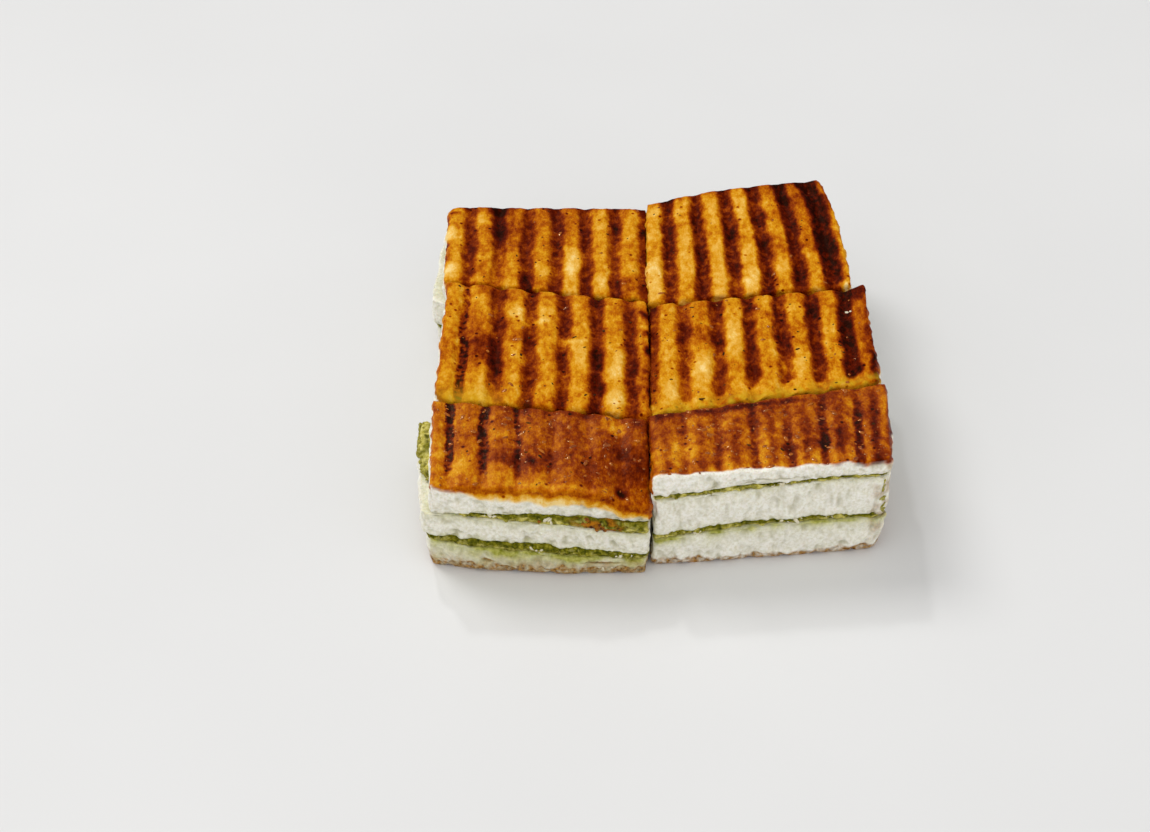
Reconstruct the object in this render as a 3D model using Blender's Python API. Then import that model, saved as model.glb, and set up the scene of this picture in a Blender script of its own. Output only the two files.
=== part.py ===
"""Grilled sandwich of three bread slices and two chutney layers, cut into six pieces.

The pieces lie together as they were cut, three deep and two across, so the block keeps the
form of the whole sandwich. X runs to the right, Y to the back and Z up. The origin is under
the middle of the block, on the surface that it stands on. Sizes are in millimetres until a
mesh is made.
"""

import bpy
import bmesh
from math import sqrt
from mathutils import Vector, noise

MM = 0.001

# The middle of the block's outline, which stands over the origin.
BLOCK_MIDDLE = Vector((-1.54, 0.59, 0.0))

# Air between neighbouring solids.
GAP = 0.3

# From the underside up. A slice or a layer of chutney runs right through its piece.
LAYERS = ("bread_bottom", "chutney_lower", "bread_middle", "chutney_upper", "bread_top")

# Where one layer ends and the next starts, as shares of the height, in an ordinary piece.
SHARES = (0.0, 0.325, 0.385, 0.655, 0.715, 1.0)

# Sides and layers are wavy: how far they stray, and over what length.
LAYER_WAVE = 0.35
LAYER_WAVE_LENGTH = 34.0
TOP_WAVE = 0.35
TOP_WAVE_LENGTH = 21.0
WARP = 0.55
WARP_LENGTH = 13.0

# Toasted faces are rounded over at their edges, and a mark takes this share of its pitch.
EDGE_RADIUS = 1.2
MARK_SHARE = 0.48
UNDERSIDE_MARK = 0.8

# How far the middle of a layer's outer wall stands out past its upper and lower edges.
BREAD_BULGE = 0.35
CHUTNEY_BULGE = 0.45

# The right side of the sandwich kept a strip of crust.
RIM_WIDTH = 4.2

# The pressed corner of the front left piece, in shares of its width and depth.
DROOP_WIDTH = 0.36
DROOP_DEPTH = 0.8

# Stops of the meshes. All layers share their rows, so that the faces that meet run alike.
PLAIN_COLUMNS = 6
ROWS = 3

# Corners go back left, back right, front right, front left, each with its x, y and height.
# "marks" holds the distance of the first grill mark from the left side, the pitch and the
# depth. Three values in a row are read at the start, the middle and the end of a side, from
# left to right or from front to back. "reach" says how far a layer stands out past the
# piece's outline on one side, "levels" how high the layers meet along the front, and "arch"
# how far the back stands up past a straight line between its corners.
PIECES = {
    "back_left": {
        "corners": ((-59.8, 61.4, 26.6), (-1.9, 60.8, 26.6), (-2.2, 16.3, 26.4), (-59.5, 25.3, 26.4)),
        "radii": (5.0, 1.2, 1.2, 1.5),
        "marks": (7.1, 8.3, 1.1),
        "reach": {
            ("bread_bottom", "left"): (2.4, 1.4, 0.0),
            ("chutney_lower", "left"): (2.8, 1.8, -0.4),
            ("bread_middle", "left"): (3.6, 2.6, 0.0),
            ("chutney_upper", "left"): (2.2, 1.4, -0.6),
        },
    },
    "back_right": {
        "corners": ((0.1, 62.5, 26.8), (50.6, 66.2, 32.0), (55.5, 19.9, 28.5), (-1.2, 14.4, 26.4)),
        "radii": (1.2, 2.5, 1.5, 1.2),
        "marks": (6.3, 8.6, 1.2),
        "rim": (0.2, 0.4, 0.5),
        "arch": (0.4, 2.2, 1.0),
        "reach": {
            ("bread_bottom", "right"): (0.0, 1.2, 0.2),
            ("chutney_lower", "right"): (-0.5, 0.8, -0.3),
            ("bread_middle", "right"): (0.0, 1.5, 0.3),
            ("chutney_upper", "right"): (-0.5, 1.0, -0.3),
            ("bread_top", "right"): (0.0, 1.7, 0.3),
        },
    },
    "middle_left": {
        "corners": ((-58.3, 24.5, 27.1), (-3.2, 15.2, 27.1), (-3.1, -33.9, 27.1), (-58.6, -26.9, 27.1)),
        "radii": (1.5, 3.5, 1.2, 4.0),
        "marks": (6.3, 8.9, 1.1),
        "reach": {
            ("bread_bottom", "left"): (0.4, 0.2, 0.4),
            ("bread_middle", "left"): (0.8, 0.5, 1.0),
        },
    },
    "middle_right": {
        "corners": ((0.3, 13.4, 27.1), (59.0, 18.6, 29.2), (58.5, -21.7, 28.3), (-2.2, -33.4, 27.1)),
        "radii": (1.2, 2.5, 2.0, 1.2),
        "marks": (0.8, 8.8, 1.1),
        "rim": (0.3, 0.7, 1.9),
        "reach": {
            ("chutney_lower", "right"): (-0.5, -0.5, -0.5),
            ("chutney_upper", "right"): (-0.5, -0.5, -0.5),
        },
    },
    "front_left": {
        "corners": ((-59.2, -27.8, 27.2), (-3.9, -34.7, 26.6), (-3.4, -63.8, 27.3), (-58.3, -61.2, 27.3)),
        "radii": (1.5, 1.2, 2.0, 1.8),
        "marks": (4.8, 8.6, 0.7),
        "droop": 5.4,
        "levels": ((9.3, 6.8, 5.5), (10.6, 9.2, 7.4), (17.5, 16.2, 14.3), (17.6, 18.8, 17.5)),
        "reach": {
            ("bread_bottom", "left"): (0.8, 1.4, 1.4),
            ("bread_bottom", "front"): (0.3, 2.3, 0.9),
            ("chutney_lower", "left"): (1.2, 1.8, 1.8),
            ("chutney_lower", "front"): (0.0, 1.6, 1.0),
            ("bread_middle", "left"): (2.2, 3.1, 3.0),
            ("bread_middle", "front"): (0.0, 1.0, 1.5),
            ("chutney_upper", "left"): (-7.0, 2.4, 2.8),
            ("chutney_upper", "front"): (-0.4, 0.6, 1.3),
        },
    },
    "front_right": {
        "corners": ((-2.5, -34.3, 27.6), (59.8, -22.7, 28.3), (57.2, -54.6, 29.9), (-2.7, -60.6, 29.7)),
        "radii": (1.2, 2.0, 3.2, 1.6),
        "marks": (8.5, 8.95, 0.5),
        "rim": (0.5, 0.6, 0.8),
        "tuck": 3.6,
        "levels": ((8.7, 11.4, 10.4), (10.3, 12.9, 11.8), (21.3, 23.9, 24.2), (22.9, 25.3, 25.3)),
        "reach": {
            ("bread_bottom", "front"): (1.2, 1.4, 0.8),
            ("chutney_lower", "front"): (0.2, 0.4, -0.1),
            ("chutney_lower", "right"): (-0.4, -0.4, -0.4),
            ("bread_middle", "front"): (0.3, 0.4, 0.2),
            ("chutney_upper", "front"): (-0.4, -0.1, -0.4),
            ("chutney_upper", "right"): (-0.6, -0.6, -0.6),
        },
    },
}

# Colour and roughness of each kind of layer.
FINISHES = {
    "toasted_bread": ((0.45, 0.17, 0.015, 1.0), 0.45),
    "bread_crumb": ((0.72, 0.74, 0.66, 1.0), 0.9),
    "green_chutney": ((0.10, 0.16, 0.012, 1.0), 0.6),
}
LAYER_FINISH = {
    "bread_bottom": "bread_crumb",
    "chutney_lower": "green_chutney",
    "bread_middle": "bread_crumb",
    "chutney_upper": "green_chutney",
    "bread_top": "toasted_bread",
}


def clear_scene():
    """Take every object out of the file."""
    for old in list(bpy.data.objects):
        bpy.data.objects.remove(old, do_unlink=True)


def through_three(values, t):
    """The height at t of the smooth run through values at 0, a half and 1."""
    t = min(max(t, 0.0), 1.0)
    start, middle, end = values
    return start * (1 - t) * (1 - 2 * t) + 4 * middle * t * (1 - t) + end * t * (2 * t - 1)


def ease(t):
    """A step from 0 to 1 with level ends."""
    t = min(max(t, 0.0), 1.0)
    return t * t * (3 - 2 * t)


def between(a, b, t):
    """The value at share t of the way from a to b."""
    return a + (b - a) * t


def piece_size(piece):
    """Mean width and depth of a piece."""
    back_left, back_right, front_right, front_left = (Vector(corner[:2]) for corner in piece["corners"])
    width = ((back_right - back_left).length + (front_right - front_left).length) / 2
    depth = ((back_left - front_left).length + (back_right - front_right).length) / 2
    return width, depth


def flat_point(piece, u, v):
    """The point of the piece's top at share u across and v from the front."""
    back_left, back_right, front_right, front_left = (Vector(corner) for corner in piece["corners"])
    front = between(front_left, front_right, u)
    back = between(back_left, back_right, u)
    return between(front, back, v)


def side_reach(piece, name, layer, side, t, h):
    """How far a layer stands out past one side of its piece, at height share h."""
    reach = through_three(piece["reach"].get((layer, side), (0.0, 0.0, 0.0)), t)
    if side in name.split("_"):
        bulge = CHUTNEY_BULGE if layer.startswith("chutney") else BREAD_BULGE
        reach += bulge * 4 * h * (1 - h)
    return reach


def round_corners(a, b, across, deep, radii):
    """Draw a point in where it lies in a corner, so that the outline turns on a radius."""
    for right, back, radius in zip((0, 1, 1, 0), (1, 1, 0, 0), radii):
        from_side = across - a if right else a
        from_end = deep - b if back else b
        p = 1 - from_side / radius
        q = 1 - from_end / radius
        if p > 0 and q > 0:
            from_side = radius * (1 - p * sqrt(1 - q * q / 2))
            from_end = radius * (1 - q * sqrt(1 - p * p / 2))
            a = across - from_side if right else from_side
            b = deep - from_end if back else from_end
    return a, b


def rounding(distance, radius):
    """How far a rounded edge has fallen at a distance from the side."""
    if distance >= radius:
        return 0.0
    return radius - sqrt(max(radius ** 2 - (radius - distance) ** 2, 0.0))


def wave(x, y, length, seed):
    """Smooth unevenness over the plan, from about -1 to 1."""
    return noise.noise(Vector((x / length, y / length, seed)))


def piece_height(piece, u, v):
    """Height of a piece without the unevenness of its top."""
    arch = through_three(piece.get("arch", (0.0, 0.0, 0.0)), u)
    return flat_point(piece, u, v).z + arch * max(v, 0.0) ** 2


def top_height(piece, u, v):
    """Height of a piece's top between its grill marks."""
    point = flat_point(piece, u, v)
    width, _ = piece_size(piece)
    height = piece_height(piece, u, v) + TOP_WAVE * wave(point.x, point.y, TOP_WAVE_LENGTH, 3.7)
    rim = through_three(piece.get("rim", (0.0, 0.0, 0.0)), v)
    height += rim * ease((RIM_WIDTH - (1 - u) * width) / RIM_WIDTH)
    fall = ease((u - 1 + DROOP_WIDTH) / DROOP_WIDTH) * ease((DROOP_DEPTH - v) / DROOP_DEPTH)
    return height - piece.get("droop", 0.0) * fall


def level(piece, index, u, v):
    """Height at which layer index starts, and the one below it ends."""
    point = flat_point(piece, u, v)
    height = SHARES[index] * piece_height(piece, u, v)
    if "levels" in piece:
        height = between(through_three(piece["levels"][index - 1], u), height, ease(v))
    pair = 11.3 if index < 3 else 27.9
    return height + LAYER_WAVE * wave(point.x, point.y, LAYER_WAVE_LENGTH, pair)


def mark_depth(piece, from_left, full_depth):
    """Depth of the grill marks at a distance from the left side."""
    first, pitch, _ = piece["marks"]
    turns = (from_left - first) / pitch
    off_centre = abs(turns - round(turns))
    return full_depth * max(0.0, 1 - off_centre / (MARK_SHARE / 2))


def layer_point(name, index, s, t, h):
    """Place share s across, t from the front and h up layer index of a piece."""
    piece = PIECES[name]
    layer = LAYERS[index]
    width, depth = piece_size(piece)
    left = side_reach(piece, name, layer, "left", t, h)
    right = side_reach(piece, name, layer, "right", t, h)
    front = side_reach(piece, name, layer, "front", s, h)
    back = side_reach(piece, name, layer, "back", s, h)
    across = width + left + right
    deep = depth + front + back
    from_left = s * across
    from_front = t * deep
    a, b = round_corners(from_left, from_front, across, deep, piece["radii"])
    u = (a - left) / width
    v = (b - front) / depth

    from_side = min(from_left, across - from_left)
    from_end = min(from_front, deep - from_front)
    if index == 0:
        tuck = piece.get("tuck", EDGE_RADIUS)
        low = mark_depth(piece, s * width, UNDERSIDE_MARK)
        low = max(low, rounding(from_left, EDGE_RADIUS), rounding(across - from_left, tuck))
        low = max(low, rounding(from_end, EDGE_RADIUS))
    else:
        low = level(piece, index, u, v) + GAP / 2
    if index == len(LAYERS) - 1:
        high = top_height(piece, u, v) - mark_depth(piece, s * width, piece["marks"][2])
        high -= max(rounding(from_side, EDGE_RADIUS), rounding(from_end, EDGE_RADIUS))
    else:
        high = level(piece, index + 1, u, v) - GAP / 2

    point = flat_point(piece, u, v)
    point.z = between(low, high, h)
    stray_x = WARP * noise.noise(point / WARP_LENGTH + Vector((0.0, 0.0, 7.1)))
    stray_y = WARP * noise.noise(point / WARP_LENGTH + Vector((0.0, 0.0, 19.3)))
    return point + Vector((stray_x, stray_y, 0.0)) - BLOCK_MIDDLE


def even_stops(count):
    """Shares from 0 to 1 in count equal steps."""
    return [step / count for step in range(count + 1)]


def edged_stops(size, count):
    """Even stops with a narrow step more at each end, where a toasted face is rounded over."""
    edge = EDGE_RADIUS / size
    stops = even_stops(count)
    return [0.0, edge] + stops[1:-1] + [1 - edge, 1.0]


def marked_stops(piece):
    """Shares across a toasted face, with a stop at the middle and both shoulders of each mark."""
    width, _ = piece_size(piece)
    first, pitch, _ = piece["marks"]
    half_mark = MARK_SHARE * pitch / 2
    stops = [0.0, EDGE_RADIUS]
    for turn in range(int(width / pitch) + 1):
        for offset in (-half_mark, 0.0, half_mark):
            place = first + turn * pitch + offset
            if stops[-1] + EDGE_RADIUS / 2 < place < width - 1.5 * EDGE_RADIUS:
                stops.append(place)
    stops += [width - EDGE_RADIUS, width]
    return [stop / width for stop in stops]


def gridded_box(stops):
    """A closed box from 0 to 1 on each axis, cut at the stops of that axis."""
    box = bmesh.new()
    bmesh.ops.create_cube(box, size=1.0)
    for axis in range(3):
        along_axis = [edge for edge in box.edges if edge.verts[0].co[axis] != edge.verts[1].co[axis]]
        cuts = len(stops[axis]) - 2
        bmesh.ops.subdivide_edges(box, edges=along_axis, cuts=cuts, use_grid_fill=True)
    for vert in box.verts:
        for axis in range(3):
            last = len(stops[axis]) - 1
            vert.co[axis] = stops[axis][round((vert.co[axis] + 0.5) * last)]
    return box


def make_materials():
    """One Principled material for each finish."""
    materials = {}
    for name, (colour, roughness) in FINISHES.items():
        material = bpy.data.materials.new(name)
        material.use_nodes = True
        shader = material.node_tree.nodes["Principled BSDF"]
        shader.inputs["Base Color"].default_value = colour
        shader.inputs["Roughness"].default_value = roughness
        shader.inputs["Metallic"].default_value = 0.0
        material.diffuse_color = colour
        materials[name] = material
    return materials


def make_layer(name, index, anchor, material):
    """Model one slice or chutney layer of a piece, in the frame of the piece's empty."""
    piece = PIECES[name]
    _, depth = piece_size(piece)
    columns = even_stops(PLAIN_COLUMNS)
    rows = even_stops(ROWS)
    if index in (0, len(LAYERS) - 1):
        columns = marked_stops(piece)
        rows = edged_stops(depth, ROWS)
    shape = gridded_box((columns, rows, even_stops(2)))
    for vert in shape.verts:
        vert.co = layer_point(name, index, *vert.co) * MM - anchor.location
    bmesh.ops.recalc_face_normals(shape, faces=shape.faces)
    mesh = bpy.data.meshes.new(name + "_" + LAYERS[index])
    shape.to_mesh(mesh)
    shape.free()
    mesh.materials.append(material)
    layer = bpy.data.objects.new(mesh.name, mesh)
    layer.parent = anchor
    bpy.context.scene.collection.objects.link(layer)


def make_piece(name, materials):
    """Model the five layers of one piece around an empty on the base under its middle."""
    middle = flat_point(PIECES[name], 0.5, 0.5) - BLOCK_MIDDLE
    anchor = bpy.data.objects.new(name, None)
    anchor.location = (middle.x * MM, middle.y * MM, 0.0)
    bpy.context.scene.collection.objects.link(anchor)
    for index, layer in enumerate(LAYERS):
        make_layer(name, index, anchor, materials[LAYER_FINISH[layer]])


clear_scene()
finish_materials = make_materials()
for piece_name in PIECES:
    make_piece(piece_name, finish_materials)
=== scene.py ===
import random
from math import pi, radians

import bmesh
import bpy
import numpy as np
from mathutils import Matrix, Vector, noise


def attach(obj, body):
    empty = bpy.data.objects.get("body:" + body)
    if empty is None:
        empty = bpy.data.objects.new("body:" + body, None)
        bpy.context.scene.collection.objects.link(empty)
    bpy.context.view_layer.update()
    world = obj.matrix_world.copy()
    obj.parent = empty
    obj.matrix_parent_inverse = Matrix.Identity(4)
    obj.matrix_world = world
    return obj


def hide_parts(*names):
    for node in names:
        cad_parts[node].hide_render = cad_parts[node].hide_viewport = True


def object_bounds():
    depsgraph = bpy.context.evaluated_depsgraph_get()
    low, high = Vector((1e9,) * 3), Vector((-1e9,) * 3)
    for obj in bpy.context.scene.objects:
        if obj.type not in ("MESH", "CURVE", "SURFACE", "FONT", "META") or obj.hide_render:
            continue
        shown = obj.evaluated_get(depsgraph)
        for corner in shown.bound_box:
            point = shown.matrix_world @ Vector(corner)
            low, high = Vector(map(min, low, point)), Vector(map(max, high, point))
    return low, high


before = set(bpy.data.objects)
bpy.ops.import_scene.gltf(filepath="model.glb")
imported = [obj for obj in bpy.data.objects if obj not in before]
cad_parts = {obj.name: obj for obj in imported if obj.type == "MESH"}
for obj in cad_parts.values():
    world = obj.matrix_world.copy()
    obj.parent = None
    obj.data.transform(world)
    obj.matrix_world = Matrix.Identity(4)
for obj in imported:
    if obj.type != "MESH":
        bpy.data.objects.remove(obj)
cad_box = [list(corner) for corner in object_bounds()]


# The bottom slices. Soft white sandwich bread, pressed and toasted on the underside, then cut
# through with a knife. The layers above follow the same outlines, so how the sandwich was cut
# is described here. Lengths are in millimetres until a mesh is made.

MM = 0.001
ON_EDGE = 1e-6
BLOCK_MIDDLE = np.array((-1.54, 0.59, 0.0))
LAYERS = ("bread_bottom", "chutney_lower", "bread_middle", "chutney_upper", "bread_top")
# Where the layers meet, as shares of the height.
SHARES = (0.0, 0.325, 0.385, 0.655, 0.715, 1.0)
LAYER_WAVE = 0.35
LAYER_WAVE_LENGTH = 34.0
FRAY = 0.42
FRAY_LENGTH = 4.6
FINE_FRAY = 0.6
FINE_FRAY_LENGTH = 1.9
WARP = 0.55
WARP_LENGTH = 13.0
EDGE_RADIUS = 1.2
MARK_SHARE = 0.48
UNDERSIDE_MARK = 0.8
BREAD_BULGE = 0.35
CHUTNEY_BULGE = 0.45

# Corners go back left, back right, front right, front left, each with its x, y and height, and
# "radii" is how far each is rounded. "marks" holds the distance of the first grill mark from
# the left side, the pitch and the depth. Three values in a row are read at the start, the
# middle and the end of a side. "reach" is how far a layer stands out past the outline, "levels"
# how high the layers meet along the front, and "arch" how far the back stands up past a
# straight line between its corners. "rim" is how far the top turns up along the right side,
# "droop" how far it sinks at the front right corner, and "tuck" how far the underside is
# rounded along the right side.
PIECES = {
    "back_left": {
        "corners": ((-59.8, 61.4, 26.6), (-1.9, 60.8, 26.6), (-2.2, 16.3, 26.4), (-59.5, 25.3, 26.4)),
        "radii": (5.0, 1.2, 1.2, 1.5),
        "marks": (7.1, 8.3, 1.1),
        "reach": {
            ("bread_top", "right"): (0.8, 1.0, 1.2),
            ("bread_bottom", "left"): (2.4, 1.4, 0.0),
            ("chutney_lower", "left"): (2.8, 1.8, -0.4),
            ("bread_middle", "left"): (3.6, 2.6, 0.0),
            ("chutney_upper", "left"): (-0.4, -0.2, -0.8),
        },
    },
    "back_right": {
        "corners": ((0.1, 62.5, 26.8), (50.6, 66.2, 32.0), (55.5, 19.9, 28.5), (-1.2, 14.4, 26.4)),
        "radii": (1.2, 2.5, 1.5, 1.2),
        "marks": (6.3, 8.6, 1.2),
        "rim": (0.2, 0.4, 0.5),
        "arch": (0.4, 2.2, 1.0),
        "reach": {
            ("bread_top", "left"): (0.7, 0.9, 1.1),
            ("bread_bottom", "right"): (0.0, 1.2, 0.2),
            ("chutney_lower", "right"): (-0.5, 0.8, -0.3),
            ("bread_middle", "right"): (0.0, 1.5, 0.3),
            ("chutney_upper", "right"): (-0.5, 1.0, -0.3),
            ("bread_top", "right"): (0.0, 1.7, 0.3),
        },
    },
    "middle_left": {
        "corners": ((-58.3, 24.5, 27.1), (-3.2, 15.2, 27.1), (-3.1, -33.9, 27.1), (-58.6, -26.9, 27.1)),
        "radii": (1.5, 3.5, 1.2, 4.0),
        "marks": (6.3, 8.9, 1.1),
        "reach": {
            ("bread_top", "right"): (0.6, 1.3, 1.6),
            ("bread_bottom", "left"): (0.4, 0.2, 0.4),
            ("bread_middle", "left"): (0.8, 0.5, 1.0),
        },
    },
    "middle_right": {
        "corners": ((0.3, 13.4, 27.1), (59.0, 18.6, 29.2), (58.5, -21.7, 28.3), (-2.2, -33.4, 27.1)),
        "radii": (1.2, 2.5, 2.0, 1.2),
        "marks": (0.8, 8.8, 1.1),
        "rim": (0.3, 0.7, 1.9),
        "reach": {
            ("bread_top", "left"): (0.7, 1.2, 1.8),
            ("chutney_lower", "right"): (-0.5, -0.5, -0.5),
            ("chutney_upper", "right"): (-0.5, -0.5, -0.5),
        },
    },
    "front_left": {
        "corners": ((-59.2, -27.8, 27.2), (-3.9, -34.7, 26.6), (-3.4, -63.8, 27.3), (-58.3, -61.2, 27.3)),
        "radii": (1.5, 1.2, 2.0, 1.8),
        "marks": (4.8, 8.6, 0.7),
        "droop": 5.4,
        "levels": ((9.3, 6.8, 5.5), (10.6, 9.2, 7.4), (17.5, 16.2, 14.3), (17.6, 18.8, 17.5)),
        "reach": {
            ("bread_top", "right"): (0.4, 0.8, 1.0),
            ("bread_top", "back"): (0.6, 0.6, 0.6),
            ("bread_middle", "right"): (0.3, 0.3, 0.3),
            ("bread_bottom", "left"): (0.8, 1.4, 1.4),
            ("bread_bottom", "front"): (0.3, 2.3, 0.9),
            ("chutney_lower", "left"): (1.2, 1.8, 1.8),
            ("chutney_lower", "front"): (0.0, 1.6, 1.0),
            ("bread_middle", "left"): (2.2, 3.1, 3.0),
            ("bread_middle", "front"): (0.0, 1.0, 1.5),
            ("chutney_upper", "left"): (-7.0, 2.4, 2.8),
            ("chutney_upper", "front"): (-0.4, 0.6, 1.3),
        },
    },
    "front_right": {
        "corners": ((-2.5, -34.3, 27.6), (59.8, -22.7, 28.3), (57.2, -54.6, 29.9), (-2.7, -60.6, 29.7)),
        "radii": (1.2, 2.0, 3.2, 1.6),
        "marks": (8.5, 8.95, 0.5),
        "rim": (0.5, 0.6, 0.8),
        "tuck": 3.6,
        "levels": ((8.7, 11.4, 10.4), (10.3, 12.9, 11.8), (21.3, 23.9, 24.2), (22.9, 25.3, 25.3)),
        "reach": {
            ("bread_top", "left"): (0.3, 0.5, 0.6),
            ("bread_top", "back"): (0.6, 0.6, 0.6),
            ("bread_bottom", "front"): (1.2, 1.4, 0.8),
            ("chutney_lower", "front"): (0.2, 0.4, -0.1),
            ("chutney_lower", "right"): (-0.4, -0.4, -0.4),
            ("bread_middle", "front"): (0.3, 0.4, 0.2),
            ("chutney_upper", "front"): (-0.4, -0.1, -0.4),
            ("chutney_upper", "right"): (-0.6, -0.6, -0.6),
        },
    },
}


def through_three(values, t):
    """The smooth run through values at 0, a half and 1, read at t."""
    t = np.clip(t, 0.0, 1.0)
    start, middle, end = values
    return start * (1 - t) * (1 - 2 * t) + 4 * middle * t * (1 - t) + end * t * (2 * t - 1)


def ease(t):
    """A step from 0 to 1 with level ends."""
    t = np.clip(t, 0.0, 1.0)
    return t * t * (3 - 2 * t)


def between(a, b, t):
    """The value at share t of the way from a to b."""
    return a + (b - a) * t


def uneven(points, length, seed):
    """Smooth unevenness at each point, from about -1 to 1, in bumps of the given length."""
    places = points / length + np.array((0.0, 0.0, seed))
    return np.array([noise.noise(place) for place in places.tolist()])


def piece_size(piece):
    """Mean width and depth of a piece."""
    back_left, back_right, front_right, front_left = (np.array(c[:2]) for c in piece["corners"])
    width = (np.linalg.norm(back_right - back_left) + np.linalg.norm(front_right - front_left)) / 2
    depth = (np.linalg.norm(back_left - front_left) + np.linalg.norm(back_right - front_right)) / 2
    return width, depth


def flat_points(piece, u, v):
    """Points of the piece's top at shares u across and v from the front."""
    back_left, back_right, front_right, front_left = (np.array(c) for c in piece["corners"])
    front = between(front_left, front_right, u[:, None])
    back = between(back_left, back_right, u[:, None])
    return between(front, back, v[:, None])


def round_corners(a, b, across, deep, radii):
    """Draw points in where they lie in a corner, so that the outline turns on a radius."""
    for right, back, radius in zip((0, 1, 1, 0), (1, 1, 0, 0), radii):
        p = np.clip(1 - (across - a if right else a) / radius, 0.0, 1.0)
        q = np.clip(1 - (deep - b if back else b) / radius, 0.0, 1.0)
        turns = (p > 0) & (q > 0)
        from_side = radius * (1 - p * np.sqrt(1 - q * q / 2))
        from_end = radius * (1 - q * np.sqrt(1 - p * p / 2))
        a = np.where(turns, across - from_side if right else from_side, a)
        b = np.where(turns, deep - from_end if back else from_end, b)
    return a, b


def rounding(distance, radius):
    """How far a rounded edge has fallen at a distance from the side."""
    inside = np.clip(radius - distance, 0.0, radius)
    return radius - np.sqrt(radius ** 2 - inside ** 2)


def plan_wave(points, length, seed):
    """Smooth unevenness over the plan, from about -1 to 1."""
    flat = points * np.array((1.0, 1.0, 0.0))
    return uneven(flat, length, seed)


def piece_height(piece, u, v):
    """Height of a piece without the unevenness of its top."""
    arch = through_three(piece.get("arch", (0.0, 0.0, 0.0)), u)
    return flat_points(piece, u, v)[:, 2] + arch * np.maximum(v, 0.0) ** 2


def level(piece, index, u, v):
    """Height at which layer index starts, and the one below it ends."""
    height = SHARES[index] * piece_height(piece, u, v)
    if "levels" in piece:
        height = between(through_three(piece["levels"][index - 1], u), height, ease(v))
    points = flat_points(piece, u, v)
    fray_seed = 7.0 * index
    fray = plan_wave(points, FRAY_LENGTH, fray_seed)
    fray += FINE_FRAY * plan_wave(points, FINE_FRAY_LENGTH, fray_seed)
    wave_seed = 11.3 if index < 3 else 27.9
    return height + FRAY * fray + LAYER_WAVE * plan_wave(points, LAYER_WAVE_LENGTH, wave_seed)


def mark_profile(piece, from_left, half_width):
    """Share of the full depth of the grill marks at a distance from the left side."""
    first, pitch, _ = piece["marks"]
    turns = (from_left - first) / pitch
    off_centre = np.abs(turns - np.round(turns)) * pitch
    return ease(1 - off_centre / half_width)


def cut_block(columns, rows, tiers):
    """A closed block from 0 to 1 on each axis, cut into columns, rows and tiers."""
    block = bmesh.new()
    bmesh.ops.create_cube(block, size=1.0)
    for axis, count in enumerate((columns, rows, tiers)):
        along_axis = [e for e in block.edges if e.verts[0].co[axis] != e.verts[1].co[axis]]
        bmesh.ops.subdivide_edges(block, edges=along_axis, cuts=count - 1, use_grid_fill=True)
    bmesh.ops.translate(block, vec=(0.5, 0.5, 0.5), verts=block.verts)
    return block


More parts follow.
